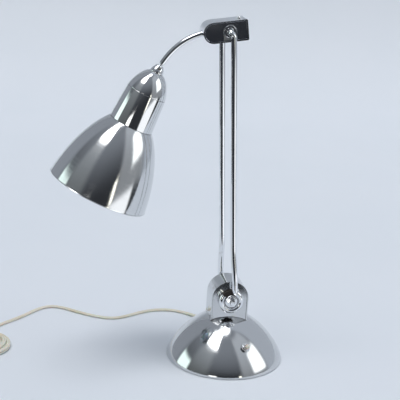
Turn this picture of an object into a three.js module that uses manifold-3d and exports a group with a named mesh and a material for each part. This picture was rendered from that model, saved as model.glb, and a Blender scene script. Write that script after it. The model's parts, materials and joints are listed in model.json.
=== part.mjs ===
// Architect desk lamp: a weighted domed base, a pivot bracket, two bent rods that carry
// a head housing, a curved arm with a ball joint, and a bell shade with its lampholder.
// Millimetres, +Z up. The origin is the middle of the base's underside. The shade hangs
// over -X, the front of the bracket faces -Y, and the cord leaves at the back.

import * as THREE from "three";
import { mergeVertices } from "three/addons/utils/BufferGeometryUtils.js";
import Module from "manifold-3d";

const wasm = await Module();
wasm.setup();

// ---- Driving dimensions -------------------------------------------------------------

const GAP = 0.3; // clearance between pieces that touch or slide

const BASE = {
  radius: 80, // of the rolled rim
  rise: 64.7, // of the dome above the rim
  rim: 2, // height of the rim's roll
  wall: 1.2,
  feltThickness: 1.5,
  plateThickness: 1.2,
  ballastInset: 18, // inside the rim
  screwInset: 38, // inside the rim, of the plate's screws
  ballastThickness: 18.5,
};

const BRACKET = {
  pivotHeight: 90, // of the lower pivot above the table
  radius: 25.4, // outside of the arched strap
  halfDepth: 17,
  wall: 1.6,
  recess: 0.6, // of the face plates behind the strap's edges
  blockHalfWidth: 9,
};

const PIN = { radius: 3, nutFlats: 10, nutThickness: 4.5, washer: 1.2 };

const ROD = {
  radius: 4,
  eyeRadius: 13, // to the rod's centreline
  eyeEnd: 135, // degrees, where the open eye ends
  kneeRadius: 9, // of the bend that leads into the eye
  kneeOffset: 5, // sideways, at the foot of the straight stretch
  offset: 3.8, // sideways, along the straight stretch
  straightHalfGap: 19.5, // from the middle plane to the straight stretch
  jogStart: 26, // above the lower pivot
  jogEnd: 80,
  topBend: 7,
};

const DISC = { radius: 13.5, thickness: 3 }; // friction disc behind each eye

const ARM = { length: 364, lean: 3.7 }; // between the two pivots, and its lean towards -X

const HEAD = {
  height: 26.7,
  left: 34.3, // from the upper pivot to the round end
  right: 23.6, // from the upper pivot to the square end
  cornerRadius: 2,
  halfDepth: 14.6,
  wall: 1.6,
  cheek: 1.2,
  recess: 1.3, // of the cheeks behind the band's edges
  tilt: 8.1, // square end up
};

const BARREL = { radius: 8, socketDepth: 5 }; // upper pivot, which both rods enter

const CLAMP = { halfDepth: 9, left: 12.5, right: 20.5, slit: 1.2, screwAt: 15.5 };

const SCREW = { radius: 1.5, headRadius: 3, headHeight: 2.2 };

const NECK_TUBE = {
  radius: 3.75,
  wall: 1.05,
  bend: 84.5, // radius of the curved stretch
  exitDrop: 1.3, // of its exit below the head's middle line
  exitAngle: 8.9, // below the head's long axis, degrees
  turn: 39.1, // degrees
  tail: 13, // straight stretch, to the ball's centre
  inside: 10.5, // length inside the head
};

const BALL = { radius: 4.4, stem: 2, bore: 1.2, shank: 7.5, shoulder: 6.5 };

const SHADE = {
  tilt: 23.8, // of its axis from vertical at rest
  wall: 1,
  ferruleTop: 2.6, // above the ball's centre; all stations below are below it
  ferruleFoot: 7,
  ferruleRadius: 9,
  capRadius: 26.3,
  capEnd: 35.7,
  neckEnd: 81,
  neckRadius: 29.5,
  bellEnd: 178.5,
  bellRadius: 67.4,
  spigot: 3.5, // overlap of one shell inside the next
};

const HOLDER = { radius: 22, thread: 19.8, top: 25, end: 92, ringRadius: 24.5 };

const BULB = { capRadius: 13.2, capTop: 58, glassTop: 84.3, radius: 30, end: 164, wall: 1.2 };

const SWITCH = {
  bearing: -74.4, // degrees round the base from +X
  fromRim: 21, // inside the base's rim
  bushing: 4,
  bushingHeight: 5.2,
  bodyRadius: 6.5,
  bodyDepth: 16,
  nutFlats: 11,
  throw: 8, // degrees to each side of the bushing's axis
  leverLength: 11.5,
};

const CORD = {
  radius: 2.8, // half the width of the flat twin flex
  exitBearing: 96, // degrees round the base from +X
  exitHeight: 9.6,
  reliefLength: 22,
};

// The middle of the coil and its size: seven turns, side by side and in three layers.
const COIL = { x: -332, y: 43, middle: 31.2, halfWidth: 8.8, bottom: 1, top: 10.2 };

// The cord's route from the strain relief to the coil, along the table.
const CORD_ROUTE = [
  [-10.4, 99.3, 9.6],
  [-11.5, 108, 8.4],
  [-13.8, 117, 5.6],
  [-18, 127, 3.4],
  [-25.5, 137, 3],
  [-36, 146, 3],
  [-49, 152.5, 3],
  [-63, 155.5, 3],
  [-80, 154, 3],
  [-98, 147, 3],
  [-114, 138, 3],
  [-128, 131, 3],
  [-142, 128, 3],
  [-156, 131, 3],
  [-170, 138, 3],
  [-185, 148, 3],
  [-199, 159, 3],
  [-213, 169.5, 3],
  [-228, 175, 3],
  [-242, 171, 3],
  [-254, 161, 3],
  [-265, 149.5, 3],
  [-277, 137, 3],
  [-291, 124.5, 3],
  [-305, 112, 3],
  [-315, 101, 3],
  [-324, 91.5, 3.4],
  [-336, 86.4, 3.8],
];

// The last stretch, from the coil to the plug.
const CORD_TAIL = [
  [-375.4, 38, 4.4],
  [-375.6, 30, 4],
  [-375.6, 20, 4],
  [-375.6, 11, 4.6],
  [-375.6, 3, 5.8],
  [-375.6, -4, 6.6],
];

const PLUG = {
  length: 34,
  height: 13,
  endWidth: 26,
  neckWidth: 9,
  pinRadius: 2,
  pinLength: 19,
  pinSpacing: 19,
};

// ---- Materials ----------------------------------------------------------------------

const MATERIALS = {
  chrome: { color: 0xd3d6da, roughness: 0.08, metalness: 1 },
  polished: { color: 0xb9bcc0, roughness: 0.24, metalness: 1 },
  steel: { color: 0x9a9da1, roughness: 0.4, metalness: 1 },
  iron: { color: 0x3a3b3d, roughness: 0.8, metalness: 0.6 },
  brass: { color: 0xb08d4a, roughness: 0.35, metalness: 1 },
  ivory: { color: 0xe9e3d2, roughness: 0.45, metalness: 0 },
  bakelite: { color: 0x1d1a18, roughness: 0.35, metalness: 0 },
  felt: { color: 0x2f3a33, roughness: 0.95, metalness: 0 },
  fibre: { color: 0x6d4a33, roughness: 0.8, metalness: 0 },
  glass: { color: 0xf4f3ee, roughness: 0.3, metalness: 0 },
};

// ---- Helpers ------------------------------------------------------------------------

const rad = THREE.MathUtils.degToRad;
const acrossCorners = (flats) => flats / Math.sqrt(3);

function piece(name, geometry, material) {
  const mesh = new THREE.Mesh(geometry, new THREE.MeshStandardMaterial(MATERIALS[material]));
  mesh.name = name;
  return mesh;
}

function solid(geometry) {
  const bare = geometry.clone();
  bare.deleteAttribute("normal");
  bare.deleteAttribute("uv");
  const merged = mergeVertices(bare, 1e-4);
  return new wasm.Manifold(
    new wasm.Mesh({
      numProp: 3,
      vertProperties: new Float32Array(merged.attributes.position.array),
      triVerts: new Uint32Array(merged.index.array),
    }),
  );
}

function geometryOf(manifold) {
  const mesh = manifold.getMesh();
  const geometry = new THREE.BufferGeometry();
  geometry.setAttribute("position", new THREE.BufferAttribute(mesh.vertProperties, 3));
  geometry.setIndex(new THREE.BufferAttribute(mesh.triVerts, 1));
  geometry.computeVertexNormals();
  return geometry;
}

function cut(geometry, ...tools) {
  let body = solid(geometry);
  for (const tool of tools) body = body.subtract(solid(tool));
  return geometryOf(body);
}

// A solid of revolution about Z from an outline of [radius, height] points.
function revolve(outline, segments = 32) {
  let area = 0;
  outline.forEach(([r, z], i) => {
    const [r2, z2] = outline[(i + 1) % outline.length];
    area += r * z2 - r2 * z;
  });
  const points = (area > 0 ? outline : [...outline].reverse()).map(([r, z]) => new THREE.Vector2(r, z));
  const onAxis = points.some((p) => p.x === 0);
  if (onAxis) {
    const start = points.findIndex((p, i) => p.x === 0 && points.at(i - 1).x === 0);
    points.push(...points.splice(0, start));
  } else {
    points.push(points[0].clone());
  }
  return new THREE.LatheGeometry(points, segments).rotateX(Math.PI / 2);
}

// A cylinder about Z between two heights.
function rod(radius, low, high, segments = 20) {
  return revolve([[0, low], [radius, low], [radius, high], [0, high]], segments);
}

// A hollow cylinder about Z between two heights.
function collar(outer, inner, low, high, segments = 28) {
  return revolve([[inner, low], [outer, low], [outer, high], [inner, high]], segments);
}

// A hexagon nut about Z with its bore.
function nut(flats, bore, low, high) {
  const shape = new THREE.Shape();
  for (let i = 0; i < 6; i++) {
    const a = rad(60 * i);
    const r = acrossCorners(flats);
    if (i === 0) shape.moveTo(r * Math.cos(a), r * Math.sin(a));
    else shape.lineTo(r * Math.cos(a), r * Math.sin(a));
  }
  shape.closePath();
  if (bore > 0) shape.holes.push(new THREE.Path().absarc(0, 0, bore, 0, 2 * Math.PI, true));
  return new THREE.ExtrudeGeometry(shape, { depth: high - low, bevelEnabled: false, curveSegments: 10 })
    .translate(0, 0, low);
}

// A plate with its outline in the X-Z plane, between two values of Y.
function plateXZ(shape, low, high, curveSegments = 16) {
  return new THREE.ExtrudeGeometry(shape, { depth: high - low, bevelEnabled: false, curveSegments })
    .rotateX(Math.PI / 2)
    .translate(0, high, 0);
}

// Turns a piece made about Z so that its axis lies along Y, +Z becoming -Y.
const alongY = (geometry) => geometry.rotateX(Math.PI / 2);

// A curve stepped from one given point to the next, so that tight bends get more steps.
class SteppedCurve extends THREE.CatmullRomCurve3 {
  getUtoTmapping(u) {
    return u;
  }
}

function tubeAlong(points, radius, sides, bore = 0) {
  const ring = (r) =>
    Array.from({ length: sides }, (_, i) => {
      const a = (2 * Math.PI * i) / sides;
      return new THREE.Vector2(r * Math.cos(a), r * Math.sin(a));
    });
  const section = new THREE.Shape(ring(radius));
  if (bore > 0) section.holes.push(new THREE.Path(ring(bore).reverse()));
  const path = new SteppedCurve(points.map((p) => new THREE.Vector3(...p)));
  return new THREE.ExtrudeGeometry(section, {
    steps: points.length - 1,
    bevelEnabled: false,
    extrudePath: path,
  });
}

// Points of a circular arc in a plane, from one angle to another in degrees.
function arc(x, z, radius, from, to, steps) {
  return Array.from({ length: steps + 1 }, (_, i) => {
    const a = rad(from + ((to - from) * i) / steps);
    return [x + radius * Math.cos(a), z + radius * Math.sin(a)];
  });
}

// Points of a cubic curve through [radius, height] control points.
function bezier(a, b, c, d, steps) {
  const curve = new THREE.CubicBezierCurve(...[a, b, c, d].map((p) => new THREE.Vector2(...p)));
  return curve.getPoints(steps).map((p) => [p.x, p.y]);
}

const linear = (from, to, t) => from + (to - from) * t;
const smooth = (t) => t * t * (3 - 2 * t);

// ---- Base ---------------------------------------------------------------------------

const DOME_POWERS = { radial: 1.88, height: 1.28 };
const baseUnderside = BASE.feltThickness + GAP + BASE.plateThickness + GAP;

// The radius of the dome's outside at a height above the table.
function domeRadius(z) {
  const t = Math.max(0, (z - BASE.rim) / BASE.rise);
  return BASE.radius * (1 - t ** DOME_POWERS.height) ** (1 / DOME_POWERS.radial);
}

// The height of the dome's outside at a distance from the axis.
function domeHeight(r) {
  return BASE.rim + BASE.rise * (1 - (r / BASE.radius) ** DOME_POWERS.radial) ** (1 / DOME_POWERS.height);
}

// The dome's outline from near the rim up to a given radius, moved out by an offset.
function domeOutline(lastRadius, offset, steps) {
  return Array.from({ length: steps + 1 }, (_, i) => {
    const r = linear(BASE.radius - 1, lastRadius, Math.sin((i / steps) * (Math.PI / 2)));
    const slope = (domeHeight(r + 0.05) - domeHeight(Math.max(0, r - 0.05))) / (r + 0.05 - Math.max(0, r - 0.05));
    const length = Math.hypot(slope, 1);
    return [Math.max(lastRadius, r - (slope * offset) / length), domeHeight(r) + offset / length];
  });
}

const STUD = { radius: 4, bottom: 8, top: 78 };

const switchRadius = BASE.radius - SWITCH.fromRim; // from the base's axis

function switchFrame() {
  const bearing = rad(SWITCH.bearing);
  const slope = (domeHeight(switchRadius + 0.5) - domeHeight(switchRadius - 0.5)) / 1;
  const length = Math.hypot(slope, 1);
  const normal = new THREE.Vector3(
    (-slope / length) * Math.cos(bearing),
    (-slope / length) * Math.sin(bearing),
    1 / length,
  );
  const position = new THREE.Vector3(
    switchRadius * Math.cos(bearing),
    switchRadius * Math.sin(bearing),
    domeHeight(switchRadius),
  );
  const across = new THREE.Vector3(-Math.sin(bearing), Math.cos(bearing), 0);
  const up = new THREE.Vector3().crossVectors(normal, across);
  return { position, basis: new THREE.Matrix4().makeBasis(across, up, normal) };
}

function place(geometry, frame) {
  return geometry.applyMatrix4(frame.basis).translate(frame.position.x, frame.position.y, frame.position.z);
}

const switchAt = switchFrame();
const exitBearing = rad(CORD.exitBearing);
const wallAtExit = domeRadius(CORD.exitHeight);

// Turns a piece made about Z so that it points out of the base where the cord leaves.
function atExit(geometry) {
  return geometry
    .rotateY(Math.PI / 2)
    .rotateZ(exitBearing)
    .translate(0, 0, CORD.exitHeight);
}

const gland = { bore: 2.4, throat: 4.6, flange: 5.8, tip: wallAtExit + CORD.reliefLength };

function baseShell() {
  const outer = domeOutline(STUD.radius + GAP, 0, 10);
  const inner = domeOutline(STUD.radius + GAP, -BASE.wall, 7).reverse();
  const r = BASE.radius;
  const rim = [
    [r - 2.6, 3.2],
    [r - 2.4, 0.9],
    [r - 1.6, GAP],
    [r - 0.5, GAP],
    [r, 1.1],
    [r - 0.1, 2.2],
  ];
  const shell = revolve([...rim, ...outer, ...inner], 40);
  const switchHole = place(rod(SWITCH.bushing + GAP, -6, 6, 18), switchAt);
  const cordHole = atExit(rod(gland.throat + GAP, wallAtExit - 10, wallAtExit + 10, 18));
  return cut(shell, switchHole, cordHole);
}

function ballast() {
  const low = baseUnderside;
  const high = low + BASE.ballastThickness;
  const r = BASE.radius - BASE.ballastInset;
  const bore = STUD.radius + GAP;
  const body = revolve([[bore, low], [r, low], [r, high - 4], [r - 4, high], [bore, high]], 40);
  const cordNotch = new THREE.BoxGeometry(24, 15, 60).translate(r, 0, low).rotateZ(exitBearing);
  const pocket = rod(SWITCH.bodyRadius + 5, low - 1, high + 1, 18).translate(
    (switchRadius - 12) * Math.cos(rad(SWITCH.bearing)),
    (switchRadius - 12) * Math.sin(rad(SWITCH.bearing)),
    0,
  );
  const holes = plateScrewPlaces.map(([x, y]) => rod(SCREW.radius + GAP, low - 1, low + 9, 12).translate(x, y, 0));
  return cut(body, cordNotch, pocket, ...holes);
}

const screwCircle = BASE.radius - BASE.screwInset;
const plateScrewPlaces = [30, 150, 270].map((a) => [
  screwCircle * Math.cos(rad(a)),
  screwCircle * Math.sin(rad(a)),
]);
const plateBottom = BASE.feltThickness + GAP;

function basePlate() {
  const holes = plateScrewPlaces.map(([x, y]) => rod(SCREW.headRadius + GAP, 0, 10, 14).translate(x, y, 0));
  return cut(rod(BASE.radius - 4, plateBottom, plateBottom + BASE.plateThickness, 40), ...holes);
}

function plateScrew([x, y]) {
  const head = plateBottom + BASE.plateThickness;
  const outline = [
    [0, plateBottom],
    [SCREW.headRadius, plateBottom],
    [SCREW.headRadius, head],
    [SCREW.radius, head],
    [SCREW.radius, head + 8],
    [0, head + 8],
  ];
  return revolve(outline, 14).translate(x, y, 0);
}

// ---- Pivot bracket ------------------------------------------------------------------

const pivotZ = BRACKET.pivotHeight;

// The dome with its clearance, which the bracket's pieces stand on.
function domeCutter() {
  return revolve([[0, 0], [BASE.radius, 0], ...domeOutline(2, GAP, 20), [0, domeHeight(0) + GAP]], 48);
}

function archShape(radius, low) {
  const shape = new THREE.Shape();
  shape.moveTo(-radius, low);
  shape.lineTo(radius, low);
  shape.lineTo(radius, pivotZ);
  shape.absarc(0, pivotZ, radius, 0, Math.PI, false);
  shape.closePath();
  return shape;
}

const bracketFoot = domeHeight(Math.hypot(BRACKET.radius, BRACKET.halfDepth)) - 6;

function bracketStrap() {
  const inner = BRACKET.radius - BRACKET.wall;
  const shape = new THREE.Shape();
  shape.moveTo(inner, bracketFoot);
  shape.lineTo(BRACKET.radius, bracketFoot);
  shape.lineTo(BRACKET.radius, pivotZ);
  shape.absarc(0, pivotZ, BRACKET.radius, 0, Math.PI, false);
  shape.lineTo(-BRACKET.radius, bracketFoot);
  shape.lineTo(-inner, bracketFoot);
  shape.lineTo(-inner, pivotZ);
  shape.absarc(0, pivotZ, inner, Math.PI, 0, true);
  shape.closePath();
  return cut(plateXZ(shape, -BRACKET.halfDepth, BRACKET.halfDepth, 16), domeCutter());
}

const plateOuter = BRACKET.halfDepth - BRACKET.recess;
const plateInner = plateOuter - BRACKET.wall;
const pinBore = PIN.radius + GAP;

function bracketPlate(side) {
  const shape = archShape(BRACKET.radius - BRACKET.wall - GAP, bracketFoot);
  shape.holes.push(new THREE.Path().absarc(0, pivotZ, pinBore, 0, 2 * Math.PI, true));
  const [low, high] = side < 0 ? [-plateOuter, -plateInner] : [plateInner, plateOuter];
  return cut(plateXZ(shape, low, high, 18), domeCutter());
}

function bracketBlock() {
  const half = BRACKET.blockHalfWidth;
  const inside = BRACKET.radius - BRACKET.wall - GAP;
  const top = pivotZ + Math.sqrt(inside ** 2 - half ** 2);
  const depth = plateInner - GAP;
  const box = new THREE.BoxGeometry(2 * half, 2 * depth, top - bracketFoot)
    .translate(0, 0, (top + bracketFoot) / 2);
  const pinHole = alongY(rod(pinBore, -depth - 1, depth + 1, 20)).translate(0, 0, pivotZ);
  const studHole = rod(STUD.radius + GAP, bracketFoot - 1, STUD.top + GAP, 20);
  return cut(box, domeCutter(), pinHole, studHole);
}

const lockNutTop = domeHeight(STUD.radius) - BASE.wall - 1;

// ---- Lower pivot --------------------------------------------------------------------

const discInner = plateOuter + GAP;
const discOuter = discInner + DISC.thickness;
const eyePlane = discOuter + GAP + ROD.radius; // from the middle plane to the eye's centreline
const hubOuter = eyePlane + 2;
const washerOuter = hubOuter + GAP + PIN.washer;
const nutOuter = washerOuter + GAP + PIN.nutThickness;

// A turned piece on the lower pivot's axis, from one distance to another on one side.
function onPin(geometry, side) {
  return (side < 0 ? geometry.rotateX(Math.PI / 2) : geometry.rotateX(-Math.PI / 2)).translate(0, 0, 0);
}

function pivotPin() {
  const flats = PIN.nutFlats;
  const shaft = rod(PIN.radius, -washerOuter - GAP, nutOuter + 1.6, 18);
  const head = nut(flats, 0, -nutOuter, -washerOuter - GAP);
  return alongY(geometryOf(solid(shaft).add(solid(head)))).translate(0, 0, pivotZ);
}

// ---- Rods and upper pivot -----------------------------------------------------------

const barrelHalf = HEAD.halfDepth - HEAD.recess;
const barrelSocket = barrelHalf - BARREL.socketDepth;

// The front rod's centreline in the arm's frame, from the open end of its eye to the
// socket of the upper pivot.
function rodRoute() {
  const knee = Math.acos((ROD.kneeOffset + ROD.kneeRadius) / (ROD.eyeRadius + ROD.kneeRadius));
  const kneeDegrees = THREE.MathUtils.radToDeg(knee);
  const kneeZ = (ROD.eyeRadius + ROD.kneeRadius) * Math.sin(knee);
  const eye = arc(0, 0, ROD.eyeRadius, ROD.eyeEnd, 360 + kneeDegrees, 16);
  const bend = arc(ROD.kneeOffset + ROD.kneeRadius, kneeZ, ROD.kneeRadius, 180 + kneeDegrees, 180, 4).slice(1);
  const route = [...eye, ...bend].map(([x, z]) => [x, -eyePlane, z]);
  for (let i = 0; i <= 6; i++) {
    const t = i / 6;
    route.push([
      linear(ROD.kneeOffset, ROD.offset, smooth(t)),
      -linear(eyePlane, ROD.straightHalfGap, smooth(t)),
      linear(ROD.jogStart, ROD.jogEnd, t),
    ]);
  }
  const bendStart = ARM.length - ROD.topBend;
  route.push([ROD.offset, -ROD.straightHalfGap, linear(ROD.jogEnd, bendStart, 0.5)]);
  route.push([ROD.offset, -ROD.straightHalfGap, bendStart - 12]);
  for (let i = 0; i <= 6; i++) {
    const a = rad(15 * i);
    route.push([
      ROD.offset * (1 - smooth(Math.min(1, (i + 1) / 6))),
      -(ROD.straightHalfGap - ROD.topBend * (1 - Math.cos(a))),
      bendStart + ROD.topBend * Math.sin(a),
    ]);
  }
  route.push([0, -(barrelSocket + GAP), ARM.length]);
  return route;
}

function pivotBarrel() {
  const body = alongY(rod(BARREL.radius, -barrelHalf, barrelHalf, 32));
  const socket = (side) =>
    alongY(rod(ROD.radius + GAP, barrelSocket, barrelHalf + 1, 20)).scale(1, side, 1);
  const back = alongY(rod(ROD.radius + GAP, -barrelHalf - 1, -barrelSocket, 20));
  return cut(body, socket(1), back);
}

// ---- Head housing -------------------------------------------------------------------

// The housing's side outline, drawn inset by some distance.
function headShape(inset) {
  const half = HEAD.height / 2 - inset;
  const centre = -(HEAD.left - HEAD.height / 2);
  const right = HEAD.right - inset;
  const corner = Math.max(0.4, HEAD.cornerRadius - inset);
  const shape = new THREE.Shape();
  shape.moveTo(centre, -half);
  shape.lineTo(right - corner, -half);
  shape.absarc(right - corner, -half + corner, corner, -Math.PI / 2, 0, false);
  shape.lineTo(right, half - corner);
  shape.absarc(right - corner, half - corner, corner, 0, Math.PI / 2, false);
  shape.lineTo(centre, half);
  shape.absarc(centre, 0, half, Math.PI / 2, (3 * Math.PI) / 2, false);
  return shape;
}

const exitHead = new THREE.Vector3(-HEAD.left, 0, -NECK_TUBE.exitDrop);
const exitAngle = rad(NECK_TUBE.exitAngle);

// Places a piece made about Z along the curved arm's first straight stretch, +Z outward.
function alongNeck(geometry) {
  return geometry
    .rotateY(-Math.PI / 2 - exitAngle)
    .translate(exitHead.x, exitHead.y, exitHead.z);
}

function headBand() {
  const shape = headShape(0);
  shape.holes.push(new THREE.Path(headShape(HEAD.wall).getPoints(9).reverse()));
  const band = plateXZ(shape, -HEAD.halfDepth, HEAD.halfDepth, 9);
  const screwHole = rod(SCREW.radius + GAP, 5, HEAD.height, 14).translate(CLAMP.screwAt, 0, 0);
  const tubeHole = alongNeck(rod(NECK_TUBE.radius + 0.5, -8, 8, 20));
  return cut(band, screwHole, tubeHole);
}

// A cheek with the slot that lets the rod's bent end reach the upper pivot.
function headCheek(side) {
  const inset = HEAD.wall + GAP;
  const half = HEAD.height / 2 - inset;
  const centre = -(HEAD.left - HEAD.height / 2);
  const right = HEAD.right - inset;
  const slot = BARREL.radius + 2 * GAP;
  const shape = new THREE.Shape();
  shape.moveTo(centre, -half);
  shape.lineTo(-slot, -half);
  shape.lineTo(-slot, 0);
  shape.absarc(0, 0, slot, Math.PI, 0, true);
  shape.lineTo(slot, -half);
  shape.lineTo(right, -half);
  shape.lineTo(right, half);
  shape.lineTo(centre, half);
  shape.absarc(centre, 0, half, Math.PI / 2, (3 * Math.PI) / 2, false);
  const outer = HEAD.halfDepth - HEAD.recess;
  const [low, high] = side < 0 ? [-outer, -outer + HEAD.cheek] : [outer - HEAD.cheek, outer];
  return plateXZ(shape, low, high, 14);
}

function clampBlock() {
  const half = HEAD.height / 2 - HEAD.wall - GAP;
  const bore = BARREL.radius + GAP;
  const box = new THREE.BoxGeometry(CLAMP.left + CLAMP.right, 2 * CLAMP.halfDepth, 2 * half)
    .translate((CLAMP.right - CLAMP.left) / 2, 0, 0);
  const barrelHole = alongY(rod(bore, -CLAMP.halfDepth - 1, CLAMP.halfDepth + 1, 32));
  const slit = new THREE.BoxGeometry(CLAMP.right, 3 * CLAMP.halfDepth, CLAMP.slit)
    .translate(CLAMP.right / 2 + 4, 0, 0);
  const screwHole = rod(SCREW.radius + GAP, -half + 3, half + 1, 14).translate(CLAMP.screwAt, 0, 0);
  return cut(box, barrelHole, slit, screwHole);
}

function clampScrew() {
  const seat = HEAD.height / 2 + GAP;
  const shankEnd = -(HEAD.height / 2 - HEAD.wall - GAP) + 3 + GAP;
  const r = SCREW.headRadius;
  const body = revolve(
    [
      [0, shankEnd],
      [SCREW.radius, shankEnd],
      [SCREW.radius, seat],
      [r, seat],
      [r, seat + 1.1],
      [0.7 * r, seat + 0.85 * SCREW.headHeight],
      [0, seat + SCREW.headHeight],
    ],
    18,
  );
  const slot = new THREE.BoxGeometry(3 * r, 0.8, 1.4).rotateZ(0.6).translate(0, 0, seat + SCREW.headHeight);
  return cut(body, slot).translate(CLAMP.screwAt, 0, 0);
}

// ---- Curved arm and ball ------------------------------------------------------------

const endAngle = exitAngle + rad(NECK_TUBE.turn);
const heading = (a) => new THREE.Vector3(-Math.cos(a), 0, -Math.sin(a));
const arcEnd = new THREE.Vector3(
  exitHead.x - NECK_TUBE.bend * (Math.sin(endAngle) - Math.sin(exitAngle)),
  0,
  exitHead.z - NECK_TUBE.bend * (Math.cos(exitAngle) - Math.cos(endAngle)),
);
const ballInHead = arcEnd.clone().addScaledVector(heading(endAngle), NECK_TUBE.tail);

function curvedArm() {
  const start = exitHead.clone().addScaledVector(heading(exitAngle), -NECK_TUBE.inside);
  const points = [start.toArray(), exitHead.toArray()];
  const steps = 9;
  for (let i = 1; i <= steps; i++) {
    const a = exitAngle + ((endAngle - exitAngle) * i) / steps;
    points.push([
      exitHead.x - NECK_TUBE.bend * (Math.sin(a) - Math.sin(exitAngle)),
      0,
      exitHead.z - NECK_TUBE.bend * (Math.cos(exitAngle) - Math.cos(a)),
    ]);
  }
  const end = ballInHead.clone().addScaledVector(heading(endAngle), -(BALL.shoulder + GAP));
  points.push(end.toArray());
  return tubeAlong(points, NECK_TUBE.radius, 12, NECK_TUBE.radius - NECK_TUBE.wall);
}

// The ball with its stem and the shank that is fixed in the tube, +Z towards the tube.
function neckBall() {
  const sphere = arc(0, 0, BALL.radius, -73, 58, 9);
  const outline = [
    [BALL.bore, sphere[0][1]],
    ...sphere,
    [BALL.stem, BALL.shoulder - 1.6],
    [3.4, BALL.shoulder - 0.9],
    [3.4, BALL.shoulder],
    [2.35, BALL.shoulder],
    [2.35, BALL.shoulder + BALL.shank],
    [BALL.bore, BALL.shoulder + BALL.shank],
  ];
  return revolve(outline, 18);
}

// ---- Shade --------------------------------------------------------------------------

const seat = { inner: BALL.radius + GAP, outer: BALL.radius + GAP + 1, from: 25, to: 58 };
const cavity = seat.outer + GAP;

// A cup that presses on the ball from below, made about Z with the ball's centre at 0.
function ballSeat() {
  return revolve(
    [
      ...arc(0, 0, seat.outer, -90 + seat.from, -90 + seat.to, 3),
      ...arc(0, 0, seat.inner, -90 + seat.to, -90 + seat.from, 3),
    ],
    18,
  );
}

const FERRULE = { bore: 3, spigot: 4.9, spigotEnd: 31.5, slotWidth: 4.4 };

function ferrule() {
  const top = SHADE.ferruleTop;
  const foot = SHADE.ferruleFoot;
  const lip = THREE.MathUtils.radToDeg(Math.asin(top / seat.inner));
  const entry = -THREE.MathUtils.radToDeg(Math.acos(FERRULE.bore / cavity));
  const body = revolve(
    [
      [4.9, top],
      [5.8, 1.2],
      [7, -0.9],
      [8.3, -3.6],
      [SHADE.ferruleRadius, -foot + 1],
      [SHADE.ferruleRadius, -foot],
      [FERRULE.spigot, -foot],
      [FERRULE.spigot, -FERRULE.spigotEnd],
      [FERRULE.bore, -FERRULE.spigotEnd],
      ...arc(0, 0, cavity, entry, -6, 6),
      ...arc(0, 0, seat.inner, -5, lip, 4),
    ],
    24,
  );
  const slot = new THREE.BoxGeometry(FERRULE.slotWidth, 12, 8).translate(0, -6, top + 4 - 4.6);
  return cut(body, slot);
}

const capTop = SHADE.ferruleFoot + GAP;

function shadeCap() {
  const wall = SHADE.wall;
  const curve = (offset, steps) =>
    bezier(
      [SHADE.ferruleRadius + 0.6 - offset * 0.3, -capTop - offset],
      [15.5 - offset * 0.6, -capTop - 2.5 - offset],
      [SHADE.capRadius - 2.1 - offset, -capTop - 15.2 - offset * 0.4],
      [SHADE.capRadius - offset, -SHADE.capEnd],
      steps,
    );
  const hole = FERRULE.spigot + GAP;
  return revolve([[hole, -capTop], ...curve(0, 7), ...curve(wall, 6).reverse(), [hole, -capTop - wall]], 32);
}

const NECK_TURN = 2.5; // below the neck's top, where its wall leaves the spigot
const neckTop = SHADE.capEnd + GAP;
const neckSpigot = SHADE.capRadius - SHADE.wall - 4 * GAP;

function shadeNeck() {
  const wall = SHADE.wall;
  const top = neckTop;
  const spigot = neckSpigot;
  const outer = SHADE.capRadius + 0.1;
  return revolve(
    [
      [spigot, -top + SHADE.spigot],
      [spigot, -top],
      [outer, -top],
      [SHADE.neckRadius, -SHADE.neckEnd],
      [SHADE.neckRadius - wall, -SHADE.neckEnd],
      [spigot, -top - NECK_TURN],
      [spigot - wall, -top - 1.4],
      [spigot - wall, -top + SHADE.spigot],
    ],
    32,
  );
}

const bellTop = SHADE.neckEnd + GAP;

function shadeBell() {
  const wall = SHADE.wall;
  const r = SHADE.bellRadius;
  const length = SHADE.bellEnd - bellTop;
  const width = r - SHADE.neckRadius;
  const curve = (offset, steps) =>
    bezier(
      [SHADE.neckRadius + 0.5 - offset * 0.4, -bellTop - offset * 1.4],
      [SHADE.neckRadius + 0.61 * width - offset * 0.7, -bellTop - 0.27 * length - offset * 0.5],
      [r - 0.09 * width - offset, -bellTop - 0.69 * length],
      [r - offset, -SHADE.bellEnd],
      steps,
    );
  const taper = (SHADE.neckRadius - wall - neckSpigot) / (SHADE.neckEnd - neckTop - NECK_TURN);
  const collarRadius = SHADE.neckRadius - wall - GAP - taper * (SHADE.spigot + GAP);
  const flange = HOLDER.thread + GAP;
  return revolve(
    [
      [collarRadius, -bellTop + SHADE.spigot],
      [collarRadius, -bellTop],
      ...curve(0, 10),
      [r + 0.6, -SHADE.bellEnd - 0.6],
      [r + 0.2, -SHADE.bellEnd - 1.3],
      [r - 0.9, -SHADE.bellEnd - 1],
      ...curve(wall, 8).reverse(),
      [flange, -bellTop - 1.4 * wall],
      [flange, -bellTop - 0.4 * wall],
      [collarRadius - wall, -bellTop - 0.4 * wall],
      [collarRadius - wall, -bellTop + SHADE.spigot],
    ],
    36,
  );
}

const capNut = { top: capTop + SHADE.wall + GAP, height: 4, flats: 15 };

function holderCap() {
  const top = HOLDER.top;
  const r = HOLDER.radius;
  const hole = FERRULE.spigot + GAP;
  return revolve(
    [
      [hole, -top],
      [12, -top - 0.8],
      [r - 2, -top - 5],
      [r, -top - 8],
      [r, -top - 14.7],
      [r - 1.7, -top - 14.7],
      [r - 1.7, -top - 8.6],
      [r - 3.6, -top - 6.4],
      [11.4, -top - 2.8],
      [hole, -top - 2.4],
    ],
    24,
  );
}

const holderSplit = HOLDER.top + 15;
const bulbBore = BULB.capRadius + 1;

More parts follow.
